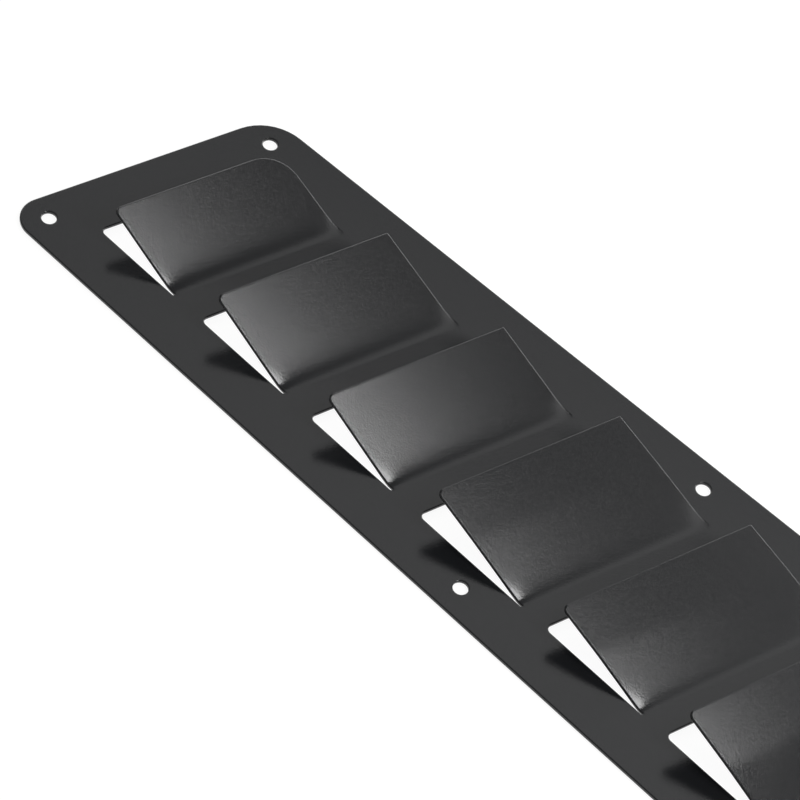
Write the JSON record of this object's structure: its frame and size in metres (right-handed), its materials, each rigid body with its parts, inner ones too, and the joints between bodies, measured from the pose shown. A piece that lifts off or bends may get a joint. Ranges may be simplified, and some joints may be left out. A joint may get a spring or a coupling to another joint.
{
  "type": "car bonnet vent",
  "caption": "Louvred bonnet vent panel folded from one tapered sheet, with raised flaps across its length and fixing holes along its long edges.",
  "frame": {"origin": "on the underside, half way between the middle pair of fixing holes", "axes": "+X along the straight near edge, from the small end towards the large end; +Y across, from the near edge to the tapered far edge; +Z out of the louvred face"},
  "size_m": [0.4327, 0.1218, 0.0205],
  "materials": {
    "powder_coated_sheet": "satin black powder coat"
  },
  "bodies": {
    "root": {"vent_panel": "powder_coated_sheet"}
  },
  "joints": []
}
